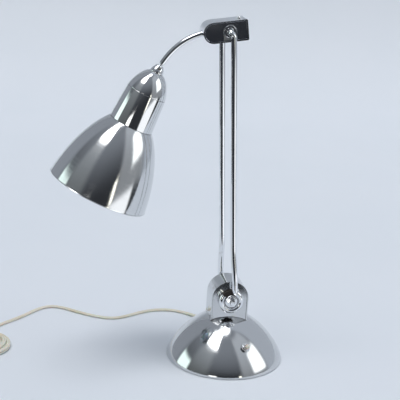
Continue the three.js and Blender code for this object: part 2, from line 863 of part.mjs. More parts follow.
function holderBody() {
  const r = HOLDER.radius;
  const floor = BULB.capTop - GAP;
  return revolve(
    [
      [FERRULE.bore, -floor + 5],
      [r - 1.7, -floor + 5],
      [r - 1.7, -holderSplit],
      [r, -holderSplit],
      [r, -bellTop],
      [HOLDER.thread, -bellTop],
      [HOLDER.thread, -HOLDER.end],
      [bulbBore, -HOLDER.end],
      [bulbBore, -floor],
      [FERRULE.bore, -floor],
    ],
    24,
  );
}

const ringTop = bellTop + 1.4 * SHADE.wall + GAP;

function bulbCap() {
  const r = BULB.capRadius;
  const foot = BULB.glassTop - GAP;
  return revolve(
    [
      [0, -BULB.capTop],
      [4.5, -BULB.capTop],
      [5, -BULB.capTop - 1.5],
      [r - 2, -BULB.capTop - 4],
      [r, -BULB.capTop - 6],
      [r, -foot],
      [0, -foot],
    ],
    24,
  );
}

// The glass is hollow and open at the top, inside its cap.
function bulbGlass() {
  const { glassTop: top, radius, end } = BULB;
  const centre = end - radius;
  const curve = (offset) => [
    [12.6 - offset, -top],
    [13.2 - offset, -HOLDER.end],
    [15.6 - offset, -top - 16],
    [21.5 - offset, -top - 28],
    [27.6 - offset, -top - 39],
    ...arc(0, -centre, radius - offset, 8, -90, 6).slice(0, -1),
    [0, offset - end],
  ];
  return revolve([...curve(0), ...curve(BULB.wall).reverse()], 20);
}

// ---- Switch -------------------------------------------------------------------------

function switchBody() {
  return revolve(
    [
      [0, -SWITCH.bodyDepth],
      [SWITCH.bodyRadius, -SWITCH.bodyDepth],
      [SWITCH.bodyRadius, -BASE.wall - 1.3],
      [SWITCH.bushing, -BASE.wall - 1.3],
      [SWITCH.bushing, SWITCH.bushingHeight],
      [SWITCH.bushing - 0.7, SWITCH.bushingHeight],
      [2, -0.6],
      [0, -0.6],
    ],
    24,
  );
}

const togglePivot = 0.9; // above the dome, in the bushing

// The lever about its own pivot, +Z out of the bushing.
function toggleLever() {
  const tip = 3.1;
  const end = SWITCH.leverLength;
  return revolve(
    [
      [0, -1.1],
      [1.2, -0.6],
      [1.35, 3],
      [2.3, 5.6],
      [tip, end - tip],
      ...arc(0, end - tip, tip, 18, 90, 4).slice(0, -1),
      [0, end],
    ],
    18,
  );
}

// ---- Cord ---------------------------------------------------------------------------

// The gland in the base's wall with its tapered strain relief, made about the exit's axis.
function cordGland() {
  const wall = wallAtExit;
  return atExit(
    revolve(
      [
        [gland.bore, wall - 9],
        [gland.flange, wall - 9],
        [gland.flange, wall - 6.6],
        [gland.throat, wall - 6.6],
        [gland.throat, wall + 4.2],
        [4.1, wall + 12],
        [3.5, gland.tip - 0.6],
        [3.1, gland.tip],
        [gland.bore, gland.tip],
      ],
      20,
    ),
  );
}

// The lead inside the base, from the gland over the ballast to the switch.
function innerLead() {
  const out = (r, z) => [r * Math.cos(exitBearing), r * Math.sin(exitBearing), z];
  const top = baseUnderside + BASE.ballastThickness + 5;
  return tubeAlong(
    [
      out(wallAtExit - 9 - GAP, CORD.exitHeight),
      out(wallAtExit - 14, CORD.exitHeight + 0.6),
      out(wallAtExit - 19.5, CORD.exitHeight + 5),
      out(wallAtExit - 22.5, CORD.exitHeight + 12),
      out(wallAtExit - 27, top - 0.8),
      [-10, 40, top],
      [-14, 20, top],
      [-14, 0, top],
      [-8, -18, top],
      [0, -30, top],
      [4.5, -36, top],
    ],
    2.4,
    8,
  );
}

function cordCoil() {
  const { middle, halfWidth, bottom, top } = COIL;
  const inner = middle - halfWidth;
  const outer = middle + halfWidth;
  const round = 1.6;
  return revolve(
    [
      [inner + round, bottom],
      [outer - round, bottom],
      [outer, bottom + round],
      [outer, top - round],
      [outer - round, top],
      [inner + round, top],
      [inner, top - round],
      [inner, bottom + round],
    ],
    32,
  ).translate(COIL.x, COIL.y, 0);
}

// The band that ties the coil's turns together.
function coilTie() {
  const half = COIL.halfWidth + 2 * GAP;
  const band = 0.6;
  const low = COIL.bottom - GAP - band;
  const high = COIL.top + GAP + band;
  const outer = new THREE.BoxGeometry(2 * (half + band), 5, high - low);
  const inner = new THREE.BoxGeometry(2 * half, 9, high - low - 2 * band);
  const bearing = rad(215);
  return cut(outer, inner)
    .rotateZ(bearing)
    .translate(
      COIL.x + COIL.middle * Math.cos(bearing),
      COIL.y + COIL.middle * Math.sin(bearing),
      (low + high) / 2,
    );
}

// The plug is made lying along -Y from the cord's end, and its pins point along -Y.
const plugAt = CORD_TAIL[CORD_TAIL.length - 1];
const plugBack = plugAt[1] - GAP;

function plugBody() {
  const { length, height, endWidth, neckWidth } = PLUG;
  const shape = new THREE.Shape();
  shape.moveTo(-neckWidth / 2, 0);
  shape.bezierCurveTo(-neckWidth / 2, -0.4 * length, -endWidth / 2, -0.3 * length, -endWidth / 2, -0.62 * length);
  shape.lineTo(-endWidth / 2, -length);
  shape.lineTo(endWidth / 2, -length);
  shape.lineTo(endWidth / 2, -0.62 * length);
  shape.bezierCurveTo(endWidth / 2, -0.3 * length, neckWidth / 2, -0.4 * length, neckWidth / 2, 0);
  shape.closePath();
  return new THREE.ExtrudeGeometry(shape, { depth: height, bevelEnabled: false, curveSegments: 8 })
    .translate(plugAt[0], plugBack, 0.1);
}

function plugPin(side) {
  const { pinRadius, pinLength, pinSpacing, length, height } = PLUG;
  const r = pinRadius;
  return alongY(revolve([[0, 0], [r, 0], [r, pinLength - 1.5], [r - 1, pinLength], [0, pinLength]], 14))
    .translate(plugAt[0] + (side * pinSpacing) / 2, plugBack - length - GAP, 0.1 + height / 2);
}

// ---- Assembly -----------------------------------------------------------------------

const lamp = new THREE.Group();

lamp.add(piece("felt_pad", rod(BASE.radius - 6, 0, BASE.feltThickness, 40), "felt"));
lamp.add(piece("base_plate", basePlate(), "steel"));
plateScrewPlaces.forEach((at, i) => lamp.add(piece(`plate_screw_${i + 1}`, plateScrew(at), "steel")));
lamp.add(piece("base_ballast", ballast(), "iron"));
lamp.add(piece("base_shell", baseShell(), "chrome"));

lamp.add(piece("bracket_stud", rod(STUD.radius, STUD.bottom, STUD.top, 20), "steel"));
lamp.add(piece("bracket_nut", nut(15, STUD.radius + GAP, lockNutTop - 6, lockNutTop), "steel"));
lamp.add(piece("bracket_block", bracketBlock(), "steel"));
lamp.add(piece("bracket_strap", bracketStrap(), "chrome"));
lamp.add(piece("bracket_plate_front", bracketPlate(-1), "chrome"));
lamp.add(piece("bracket_plate_back", bracketPlate(1), "chrome"));

lamp.add(piece("pivot_pin", pivotPin(), "chrome"));
lamp.add(piece("pivot_nut", pinPiece(nut(PIN.nutFlats, pinBore, washerOuter + GAP, nutOuter), -1), "chrome"));
[-1, 1].forEach((side) => {
  const end = side < 0 ? "front" : "back";
  lamp.add(piece(`pivot_washer_${end}`, pinPiece(collar(6.6, pinBore, hubOuter + GAP, washerOuter, 24), side), "chrome"));
});

function pinPiece(geometry, side) {
  return onPin(geometry, side).translate(0, 0, pivotZ);
}

lamp.add(piece("switch_body", place(switchBody(), switchAt), "steel"));
lamp.add(
  piece("switch_nut", place(nut(SWITCH.nutFlats, SWITCH.bushing + GAP, 1, 3.4), switchAt), "chrome"),
);
const lever = new THREE.Group();
lever.position.copy(switchAt.position).addScaledVector(
  new THREE.Vector3().setFromMatrixColumn(switchAt.basis, 2),
  togglePivot,
);
lever.quaternion
  .setFromRotationMatrix(switchAt.basis)
  .multiply(new THREE.Quaternion().setFromAxisAngle(new THREE.Vector3(1, 0, 0), rad(SWITCH.throw)));
lever.add(piece("switch_toggle", toggleLever(), "ivory"));
lamp.add(lever);

lamp.add(piece("cord_gland", cordGland(), "ivory"));
lamp.add(piece("inner_lead", innerLead(), "ivory"));
lamp.add(piece("cord_lead", tubeAlong(CORD_ROUTE, CORD.radius, 8), "ivory"));
lamp.add(piece("cord_coil", cordCoil(), "ivory"));
lamp.add(piece("coil_tie", coilTie(), "bakelite"));
lamp.add(piece("cord_tail", tubeAlong(CORD_TAIL, CORD.radius, 8), "ivory"));
lamp.add(piece("plug_body", plugBody(), "ivory"));
lamp.add(piece("plug_pin_left", plugPin(-1), "brass"));
lamp.add(piece("plug_pin_right", plugPin(1), "brass"));

const arm = new THREE.Group();
arm.position.set(0, 0, pivotZ);
arm.rotation.y = -rad(ARM.lean);
lamp.add(arm);
const route = rodRoute();
arm.add(piece("rod_front", tubeAlong(route, ROD.radius, 10), "chrome"));
arm.add(piece("rod_back", tubeAlong(route, ROD.radius, 10).rotateZ(Math.PI), "chrome"));
[-1, 1].forEach((side) => {
  const end = side < 0 ? "front" : "back";
  arm.add(piece(`friction_disc_${end}`, onPin(collar(DISC.radius, pinBore, discInner, discOuter), side), "fibre"));
  const hub = collar(ROD.eyeRadius - ROD.radius - GAP, pinBore, discOuter + GAP, hubOuter);
  arm.add(piece(`eye_hub_${end}`, onPin(hub, side), "chrome"));
});
arm.add(piece("pivot_barrel", pivotBarrel().translate(0, 0, ARM.length), "chrome"));

const head = new THREE.Group();
head.position.set(-ARM.length * Math.sin(rad(ARM.lean)), 0, pivotZ + ARM.length * Math.cos(rad(ARM.lean)));
head.rotation.y = -rad(HEAD.tilt);
lamp.add(head);
head.add(piece("head_band", headBand(), "chrome"));
head.add(piece("head_cheek_front", headCheek(-1), "chrome"));
head.add(piece("head_cheek_back", headCheek(1), "chrome"));
head.add(piece("head_clamp", clampBlock(), "steel"));
head.add(piece("clamp_screw", clampScrew(), "chrome"));
head.add(piece("neck_nut", alongNeck(nut(12, NECK_TUBE.radius + GAP, -9, -5)), "brass"));
head.add(piece("curved_arm", curvedArm(), "chrome"));

const ballFrame = new THREE.Group();
ballFrame.position.copy(ballInHead);
ballFrame.rotation.y = Math.PI / 2 - endAngle;
head.add(ballFrame);
ballFrame.add(piece("neck_ball", neckBall(), "chrome"));
ballFrame.add(piece("ball_seat", ballSeat(), "brass"));

head.updateMatrixWorld(true);
const shade = new THREE.Group();
shade.position.copy(ballInHead).applyMatrix4(head.matrixWorld);
shade.rotation.y = rad(SHADE.tilt);
lamp.add(shade);
shade.add(piece("ferrule", ferrule(), "chrome"));
shade.add(
  piece(
    "ferrule_nut",
    nut(capNut.flats, FERRULE.spigot + GAP, -capNut.top - capNut.height, -capNut.top),
    "brass",
  ),
);
shade.add(piece("shade_cap", shadeCap(), "polished"));
shade.add(piece("shade_neck", shadeNeck(), "polished"));
shade.add(piece("shade_bell", shadeBell(), "polished"));
shade.add(piece("holder_cap", holderCap(), "bakelite"));
shade.add(piece("holder_nut", nut(14, FERRULE.spigot + GAP, -HOLDER.top - 5.9, -HOLDER.top - 2.7), "brass"));
shade.add(piece("holder_body", holderBody(), "bakelite"));
shade.add(piece("holder_ring", collar(HOLDER.ringRadius, HOLDER.thread + GAP, -ringTop - 4, -ringTop), "bakelite"));
shade.add(piece("bulb_cap", bulbCap(), "brass"));
shade.add(piece("bulb_glass", bulbGlass(), "glass"));

export default lamp;
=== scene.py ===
import json
import math

import bmesh
import bpy
from mathutils import Matrix, Vector


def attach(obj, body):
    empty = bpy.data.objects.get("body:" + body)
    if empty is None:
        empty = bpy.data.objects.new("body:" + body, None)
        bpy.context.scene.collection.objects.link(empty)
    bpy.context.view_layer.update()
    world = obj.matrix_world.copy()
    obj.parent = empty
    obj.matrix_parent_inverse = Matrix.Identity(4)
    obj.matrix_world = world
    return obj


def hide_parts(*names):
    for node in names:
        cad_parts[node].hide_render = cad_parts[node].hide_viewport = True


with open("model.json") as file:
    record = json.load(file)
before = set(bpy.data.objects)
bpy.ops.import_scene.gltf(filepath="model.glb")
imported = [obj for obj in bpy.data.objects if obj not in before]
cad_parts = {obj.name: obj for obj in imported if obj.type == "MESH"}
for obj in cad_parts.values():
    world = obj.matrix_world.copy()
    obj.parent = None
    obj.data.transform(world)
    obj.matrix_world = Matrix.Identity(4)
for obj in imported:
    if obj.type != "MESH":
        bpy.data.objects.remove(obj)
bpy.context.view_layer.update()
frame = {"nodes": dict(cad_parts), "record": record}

# Desk lamp. Outlines are in millimetres, each in the local frame of its body; MM turns
# them into metres in the row frame.

MM = 0.001
rad = math.radians

# ---- Camera -------------------------------------------------------------------------

HEADING = rad(11.16)  # of the view, from +Y towards +X
PITCH = rad(17.43)  # below the horizon
ROLL = rad(3.48)
SENSOR_WIDTH, FOCAL_LENGTH = 36, 101.39  # millimetres
CAMERA_PLACE = (-0.32274, -1.40011, 0.67406)  # metres


def make_camera():
    data = bpy.data.cameras.new("camera")
    data.sensor_width = SENSOR_WIDTH
    data.lens = FOCAL_LENGTH
    data.clip_start = 0.05
    camera = bpy.data.objects.new("camera", data)
    bpy.context.scene.collection.objects.link(camera)
    forward = Vector(
        (
            math.sin(HEADING) * math.cos(PITCH),
            math.cos(HEADING) * math.cos(PITCH),
            -math.sin(PITCH),
        )
    )
    level = Vector((math.cos(HEADING), -math.sin(HEADING), 0))
    right = level * math.cos(ROLL) + level.cross(forward) * math.sin(ROLL)
    up = right.cross(forward)
    turn = Matrix((right, up, -forward)).transposed().to_4x4()
    camera.matrix_world = Matrix.Translation(CAMERA_PLACE) @ turn
    bpy.context.scene.camera = camera


make_camera()

# ---- Materials ----------------------------------------------------------------------


class Shader:
    """A material's node tree, with short ways to add and join nodes."""

    def __init__(self, name):
        self.material = bpy.data.materials.new(name)
        self.material.use_nodes = True
        self.tree = self.material.node_tree
        self.surface = self.tree.nodes["Principled BSDF"]
        self.place = self.node("ShaderNodeTexCoord").outputs["Object"]

    def node(self, kind, settings=None, **sockets):
        made = self.tree.nodes.new(kind)
        for key, value in (settings or {}).items():
            setattr(made, key, value)
        for key, value in sockets.items():
            self.set(made.inputs[key.replace("_", " ")], value)
        return made

    def set(self, socket, value):
        if isinstance(value, bpy.types.NodeSocket):
            self.tree.links.new(value, socket)
        else:
            socket.default_value = value

    def noise(self, scale, detail=3.0, rough=0.5, vector=None):
        made = self.node("ShaderNodeTexNoise", Scale=scale, Detail=detail, Roughness=rough)
        self.set(made.inputs["Vector"], vector or self.place)
        return made.outputs["Fac"]

    def stretched(self, x, y, z):
        made = self.node("ShaderNodeMapping", Scale=(x, y, z))
        self.set(made.inputs["Vector"], self.place)
        return made.outputs["Vector"]

    def range(self, value, low, high, to_low, to_high):
        made = self.node("ShaderNodeMapRange")
        made.interpolation_type = "SMOOTHSTEP"
        for key, item in zip(
            ("Value", "From Min", "From Max", "To Min", "To Max"),
            (value, low, high, to_low, to_high),
        ):
            self.set(made.inputs[key], item)
        return made.outputs["Result"]

    def math(self, operation, a, b):
        made = self.node("ShaderNodeMath", {"operation": operation})
        self.set(made.inputs[0], a)
        self.set(made.inputs[1], b)
        return made.outputs[0]

    def mix(self, factor, a, b):
        made = self.node("ShaderNodeMix", {"data_type": "RGBA"})
        self.set(made.inputs[0], factor)
        self.set(made.inputs[6], (*a, 1) if isinstance(a, tuple) else a)
        self.set(made.inputs[7], (*b, 1) if isinstance(b, tuple) else b)
        return made.outputs[2]

    def bump(self, height, strength, distance, normal=None):
        made = self.node("ShaderNodeBump", Strength=strength, Distance=distance, Height=height)
        if normal is not None:
            self.set(made.inputs["Normal"], normal)
        return made.outputs["Normal"]

    def finish(self, **sockets):
        for key, value in sockets.items():
            self.set(self.surface.inputs[key.replace("_", " ")], value)
        return self.material


def metal(name, color, shadow, roughness, scratches=0.04, mottle=25.0):
    """Plated or bare metal: handling marks in the roughness, hairline scratches, faint stains."""
    s = Shader(name)
    smears = s.range(s.noise(mottle, 5, 0.6), 0.35, 0.7, 0.75 * roughness, 1.5 * roughness)
    hair = s.noise(1.0, 2, 0.5, s.stretched(900, 900, 60))
    stain = s.range(s.noise(60, 6, 0.7), 0.56, 0.74, 0.0, 1.0)
    return s.finish(
        Base_Color=s.mix(stain, color, shadow),
        Metallic=1.0,
        Roughness=s.math("ADD", smears, s.range(stain, 0, 1, 0.0, 0.06)),
        Normal=s.bump(hair, scratches, 0.00005),
    )


def spun(name, color, shadow, roughness, stretch, rings):
    """Metal spun on a lathe: rings about local Z, and highlights drawn out across them."""
    s = Shader(name)
    fine = s.noise(1.0, 3, 0.6, s.stretched(0.5, 0.5, 2600))
    bands = s.noise(1.0, 2, 0.5, s.stretched(3, 3, 260))
    smears = s.range(s.noise(18, 5, 0.6), 0.3, 0.75, 0.85, 1.25)
    spots = s.range(s.noise(420, 2, 0.5), 0.73, 0.8, 0.0, 1.0)
    tangent = s.node("ShaderNodeTangent", {"direction_type": "RADIAL", "axis": "Z"})
    rough = s.math("MULTIPLY", s.range(bands, 0.3, 0.7, 0.85 * roughness, 1.2 * roughness), smears)
    return s.finish(
        Base_Color=s.mix(s.math("MULTIPLY", spots, 0.5), color, shadow),
        Metallic=1.0,
        Roughness=rough,
        Anisotropic=stretch,
        Anisotropic_Rotation=0.25,
        Tangent=tangent.outputs["Tangent"],
        Normal=s.bump(fine, rings, 0.00004, s.bump(bands, rings, 0.0001)),
    )


def plastic(name, color, worn, roughness, grain=900.0, bump=0.15, subsurface=0.0):
    """Moulded plastic: fine texture, slow colour drift and a few rubbed places."""
    s = Shader(name)
    drift = s.range(s.noise(22, 4, 0.6), 0.3, 0.75, 0.0, 1.0)
    rubbed = s.range(s.noise(140, 5, 0.6), 0.35, 0.75, 0.85 * roughness, 1.3 * roughness)
    return s.finish(
        Base_Color=s.mix(drift, color, worn),
        Roughness=rubbed,
        Subsurface_Weight=subsurface,
        Subsurface_Scale=0.004,
        Normal=s.bump(s.noise(grain, 3, 0.6), bump, 0.00008),
    )


def felt(name, color, light):
    s = Shader(name)
    fibres = s.noise(1400, 6, 0.8)
    tufts = s.noise(160, 4, 0.7)
    return s.finish(
        Base_Color=s.mix(s.range(tufts, 0.3, 0.7, 0, 1), color, light),
        Roughness=0.95,
        Sheen_Weight=0.5,
        Normal=s.bump(fibres, 0.7, 0.0006, s.bump(tufts, 0.5, 0.001)),
    )


def cast(name, color, light):
    s = Shader(name)
    sand = s.noise(700, 5, 0.7)
    lumps = s.noise(70, 3, 0.5)
    return s.finish(
        Base_Color=s.mix(s.range(lumps, 0.35, 0.7, 0, 1), color, light),
        Metallic=0.5,
        Roughness=0.75,
        Normal=s.bump(sand, 0.6, 0.0005, s.bump(lumps, 0.4, 0.001)),
    )


def frosted(name):
    """A bulb frosted on the inside: white, slightly see-through, glossy outside."""
    s = Shader(name)
    cloud = s.range(s.noise(30, 3, 0.5), 0.3, 0.7, 0.0, 1.0)
    return s.finish(
        Base_Color=s.mix(cloud, (0.93, 0.93, 0.9), (0.86, 0.87, 0.86)),
        Roughness=0.16,
        Subsurface_Weight=0.6,
        Subsurface_Scale=0.01,
        Transmission_Weight=0.12,
        Coat_Weight=0.6,
        Coat_Roughness=0.04,
        Normal=s.bump(s.noise(600, 2, 0.5), 0.03, 0.0001),
    )


CHROME = metal("chrome_plate", (0.83, 0.84, 0.86), (0.6, 0.6, 0.6), 0.035)
BRUSHED = metal("worn_chrome", (0.66, 0.67, 0.68), (0.4, 0.4, 0.38), 0.09, scratches=0.15)
# A darker copy of the chrome for the head's cheeks: painted shade for the dark room they reflect.
CHROME_WITH_PAINTED_SHADE = metal("chrome_with_painted_shade", (0.5, 0.52, 0.57), (0.3, 0.32, 0.36), 0.12, scratches=0.15)
STEEL = metal("plain_steel", (0.56, 0.57, 0.58), (0.36, 0.34, 0.31), 0.36, scratches=0.4)
BRASS = metal("old_brass", (0.7, 0.54, 0.28), (0.42, 0.3, 0.16), 0.28, scratches=0.3)
SPUN_SHADE = spun("spun_shade", (0.7, 0.71, 0.72), (0.5, 0.5, 0.5), 0.11, 0.8, 0.05)
SPUN_NECK = spun("spun_neck", (0.72, 0.73, 0.74), (0.5, 0.5, 0.5), 0.09, 0.8, 0.03)
SPUN_BASE = spun("spun_base", (0.68, 0.69, 0.7), (0.45, 0.45, 0.43), 0.1, 0.75, 0.05)
IRON = cast("cast_iron", (0.045, 0.045, 0.05), (0.09, 0.085, 0.085))
IVORY = plastic("ivory_plastic", (0.79, 0.76, 0.66), (0.7, 0.65, 0.52), 0.36, subsurface=0.15)
FLEX = plastic("flex_sheath", (0.8, 0.78, 0.68), (0.68, 0.64, 0.5), 0.42, 500, 0.2, 0.2)
BAKELITE = plastic("bakelite", (0.022, 0.018, 0.016), (0.04, 0.03, 0.024), 0.24)
FIBRE = plastic("pressed_fibre", (0.03, 0.026, 0.024), (0.06, 0.05, 0.045), 0.6, 700, 0.6)
FELT = felt("green_felt", (0.022, 0.04, 0.03), (0.05, 0.075, 0.06))
GLASS = frosted("frosted_glass")

SLOT_MATERIALS = {
    "chrome": CHROME,
    "polished": SPUN_SHADE,
    "steel": STEEL,
    "iron": IRON,
    "brass": BRASS,
    "ivory": IVORY,
    "bakelite": BAKELITE,
    "felt": FELT,
    "fibre": FIBRE,
    "glass": GLASS,
}

# ---- Frames of the bodies at rest ---------------------------------------------------

ARM_LENGTH, ARM_LEAN = 364, rad(3.7)
PIVOT_Z = 90
HEAD_TILT = rad(8.1)
SHADE_TILT = rad(23.8)


def shift(x, y, z):
    return Matrix.Translation(Vector((x, y, z)) * MM)


def turned(angle, axis):
    return Matrix.Rotation(angle, 4, axis)


ROOT = Matrix.Identity(4)
ARM = shift(0, 0, PIVOT_Z) @ turned(-ARM_LEAN, "Y")
HEAD = shift(
    -ARM_LENGTH * math.sin(ARM_LEAN), 0, PIVOT_Z + ARM_LENGTH * math.cos(ARM_LEAN)
) @ turned(-HEAD_TILT, "Y")

# The curved arm leaves the head at NECK_EXIT, bends at a constant radius and ends at the
# ball. Angles are below the head's long axis.
NECK_EXIT = (-34.3, 0, -1.3)
NECK_BEND, NECK_START, NECK_TURN, NECK_TAIL = 84.5, rad(8.9), rad(39.1), 13
NECK_END = NECK_START + NECK_TURN


def along_neck(angle):
    return Vector(
        (
            NECK_EXIT[0] - NECK_BEND * (math.sin(angle) - math.sin(NECK_START)),
            0,
            NECK_EXIT[2] - NECK_BEND * (math.cos(NECK_START) - math.cos(angle)),
        )
    )


def heading(angle):
    return Vector((-math.cos(angle), 0, -math.sin(angle)))


ball_in_head = along_neck(NECK_END) + heading(NECK_END) * NECK_TAIL
BALL = HEAD @ shift(*ball_in_head) @ turned(math.pi / 2 - NECK_END, "Y")
SHADE = Matrix.Translation(BALL.translation) @ turned(SHADE_TILT, "Y")

DOME_RADIUS, DOME_RISE, RIM_HEIGHT = 80, 64.7, 2


def dome_height(r):
    return RIM_HEIGHT + DOME_RISE * (1 - (r / DOME_RADIUS) ** 1.88) ** (1 / 1.28)


SWITCH_BEARING, SWITCH_DISTANCE = rad(-74.4), 59


def switch_frame():
    r = SWITCH_DISTANCE
    slope = dome_height(r + 0.5) - dome_height(r - 0.5)
    out = Vector((math.cos(SWITCH_BEARING), math.sin(SWITCH_BEARING), 0))
    normal = (Vector((0, 0, 1)) - slope * out).normalized()
    across = Vector((-out.y, out.x, 0))
    up = normal.cross(across)
    basis = Matrix((across, up, normal)).transposed().to_4x4()
    return shift(r * out.x, r * out.y, dome_height(r)) @ basis


SWITCH = switch_frame()
CORD_BEARING, CORD_HEIGHT = rad(96), 9.6
CORD_EXIT = shift(0, 0, CORD_HEIGHT) @ turned(CORD_BEARING, "Z") @ turned(math.pi / 2, "Y")

# ---- Making pieces ------------------------------------------------------------------


def piece(name, vertices, faces, place, body, material, nodes=(), sharp=32):
    """A mesh with local vertices in millimetres, standing for some CAD nodes."""
    mesh = bpy.data.meshes.new(name)
    mesh.from_pydata([Vector(v) * MM for v in vertices], [], faces)
    return dress(mesh, name, place, body, material, nodes, sharp)


def dress(mesh, name, place, body, material, nodes, sharp):
    made = bmesh.new()
    made.from_mesh(mesh)
    bmesh.ops.recalc_face_normals(made, faces=made.faces)
    made.to_mesh(mesh)
    made.free()
    mesh.polygons.foreach_set("use_smooth", [True] * len(mesh.polygons))
    mesh.set_sharp_from_angle(angle=rad(sharp))
    mesh.materials.clear()
    mesh.materials.append(material)
    obj = bpy.data.objects.new(name, mesh)
    bpy.context.scene.collection.objects.link(obj)
    obj.matrix_world = place
    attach(obj, body)
    if nodes:
        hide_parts(*nodes)
    return obj


def rounded(outline, radius, steps=3):
    """A closed outline with each corner of more than 25 degrees rounded off."""
    points = [Vector(p) for p in outline]
    result = []
    for i, p in enumerate(points):
        a, b = points[i - 1] - p, points[(i + 1) % len(points)] - p
        if p.x < 1e-6 or a.length < 1e-6 or b.length < 1e-6:
            result.append(p)
            continue
        turn = math.pi - a.angle(b)
        if turn < rad(25):
            result.append(p)
            continue
        reach = min(radius * math.tan(turn / 2), 0.4 * a.length, 0.4 * b.length)
        start, end = p + a.normalized() * reach, p + b.normalized() * reach
        for k in range(steps + 1):
            t = k / steps
            result.append(start * (1 - t) ** 2 + p * 2 * t * (1 - t) + end * t**2)
    return result


def lathe(name, outline, place, body, material, nodes=(), edge=0.25, sides=96, sharp=32):
    """A solid of revolution about local Z from a closed outline of (radius, height)."""
    points = rounded(outline, edge)
    vertices, rings, faces = [], [], []
    for p in points:
        if p.x < 1e-6:
            rings.append([len(vertices)])
            vertices.append((0, 0, p.y))
        else:
            rings.append(list(range(len(vertices), len(vertices) + sides)))
            for k in range(sides):
                a = 2 * math.pi * k / sides
                vertices.append((p.x * math.cos(a), p.x * math.sin(a), p.y))
    for a, b in zip(rings, rings[1:] + rings[:1]):
        if len(a) == 1 and len(b) == 1:
            continue
        for k in range(sides):
            n = (k + 1) % sides
            corners = [a[k % len(a)], a[n % len(a)], b[n % len(b)], b[k % len(b)]]
            faces.append(list(dict.fromkeys(corners)))
    return piece(name, vertices, faces, place, body, material, nodes, sharp)


def smooth_path(points, step):
    """Points about a step apart on a Catmull-Rom curve through the given ones."""
    pts = [Vector(p) for p in points]
    pts = [2 * pts[0] - pts[1]] + pts + [2 * pts[-1] - pts[-2]]
    result = []
    for a, b, c, d in zip(pts, pts[1:], pts[2:], pts[3:]):
        count = max(1, round((c - b).length / step))
        for k in range(count):
            t = k / count
            result.append(
                0.5
                * (
                    2 * b
                    + (c - a) * t
                    + (2 * a - 5 * b + 4 * c - d) * t**2
                    + (3 * b - a - 3 * c + d) * t**3
                )
            )
    return result + [pts[-2]]


def circle(radius, sides):
    turns = [2 * math.pi * k / sides for k in range(sides)]
    return [(radius * math.cos(a), radius * math.sin(a)) for a in turns]


def sweep(name, path, section, place, body, material, nodes=(), level=False):
    """A section of (side, up) points carried along a path, kept level or free of twist."""
    path = [Vector(p) for p in path]
    vertices, faces = [], []
    count = len(section)
    up = Vector((0, 0, 1)) if level else Vector((0, 1, 0))
    for i, p in enumerate(path):
        ahead = (path[min(i + 1, len(path) - 1)] - path[max(i - 1, 0)]).normalized()
        side = ahead.cross(up).normalized()
        lift = side.cross(ahead).normalized()
        if not level:
            up = lift
        vertices += [p + side * x + lift * y for x, y in section]
        if i:
            base = (i - 1) * count
            for k in range(count):
                n = (k + 1) % count
                faces.append([base + k, base + n, base + count + n, base + count + k])
    faces.append(list(range(count))[::-1])
    faces.append([len(vertices) - count + k for k in range(count)])
    return piece(name, vertices, faces, place, body, material, nodes, 50)


def bevelled(node, body, material, width=0.35, name=None):
    """A copy of a CAD node with its faces merged and its edges softened, in its place."""
    source = frame["nodes"][node]
    mesh = source.data.copy()
    made = bmesh.new()
    made.from_mesh(mesh)
    bmesh.ops.remove_doubles(made, verts=made.verts, dist=1e-6)
    bmesh.ops.dissolve_limit(
        made, angle_limit=rad(1), verts=made.verts, edges=made.edges, use_dissolve_boundaries=False
    )
    made.to_mesh(mesh)
    made.free()
    obj = dress(mesh, name or f"{node}_piece", ROOT, body, material, (node,), 32)
    bevel = obj.modifiers.new("edges", "BEVEL")
    bevel.width = width * MM
    bevel.segments = 2
    bevel.limit_method = "ANGLE"
    bevel.angle_limit = rad(38)
    bevel.harden_normals = False
    return obj


def arc(x, z, radius, start, end, steps):
    turns = [rad(start + (end - start) * i / steps) for i in range(steps + 1)]
    return [(x + radius * math.cos(a), z + radius * math.sin(a)) for a in turns]


def bezier(a, b, c, d, steps):
    points = []
    for i in range(steps + 1):
        t = i / steps
        weights = ((1 - t) ** 3, 3 * t * (1 - t) ** 2, 3 * t * t * (1 - t), t**3)
        points.append(tuple(sum(w * p[k] for w, p in zip(weights, (a, b, c, d))) for k in (0, 1)))
    return points


def ease(t):
    t = max(0.0, min(1.0, t))
    return t * t * (3 - 2 * t)


# ---- Cord ---------------------------------------------------------------------------

CORD_ROUTE = [
    (-10.4, 99.3, 9.6),
    (-11.5, 108, 8.4),
    (-13.8, 117, 5.6),
    (-18, 127, 3.4),
    (-25.5, 137, 2.2),
    (-36, 146, 1.8),
    (-49, 152.5, 1.8),
    (-63, 155.5, 1.8),
    (-80, 154, 1.8),
    (-98, 147, 1.8),
    (-114, 138, 1.8),
    (-128, 131, 1.8),
    (-142, 128, 1.8),
    (-156, 131, 1.8),
    (-170, 138, 1.8),
    (-185, 148, 1.8),
    (-199, 159, 1.8),
    (-213, 169.5, 1.8),
    (-228, 175, 1.8),
    (-242, 171, 1.8),
    (-254, 161, 1.8),
    (-265, 149.5, 1.8),
    (-277, 137, 1.8),
    (-291, 124.5, 1.8),
    (-305, 112, 1.8),
    (-315, 101, 1.8),
    (-324, 91.5, 2),
]
CORD_TAIL = [
    (-375.4, 38, 3.2),
    (-375.6, 30, 3),
    (-375.6, 20, 3.2),
    (-375.6, 11, 4.2),
    (-375.6, 3, 5.8),
    (-375.6, -4, 6.6),
]
COIL_X, COIL_Y = -332, 43
# The radius and the height of each turn in order.
COIL_TURNS = [
    (43.4, 2.3),
    (36.8, 2.4),
    (31.2, 2.4),
    (25.6, 2.4),
    (25.6, 5.5),
    (31.2, 5.5),
    (36.8, 5.5),
    (31.2, 8.5),
    (43.6, 3.6),
]


COIL_START = 95.3  # degrees, the bearing at which the cord joins the coil
COIL_LENGTH = 7.22  # turns
COIL_STEPS = 24  # points in a turn


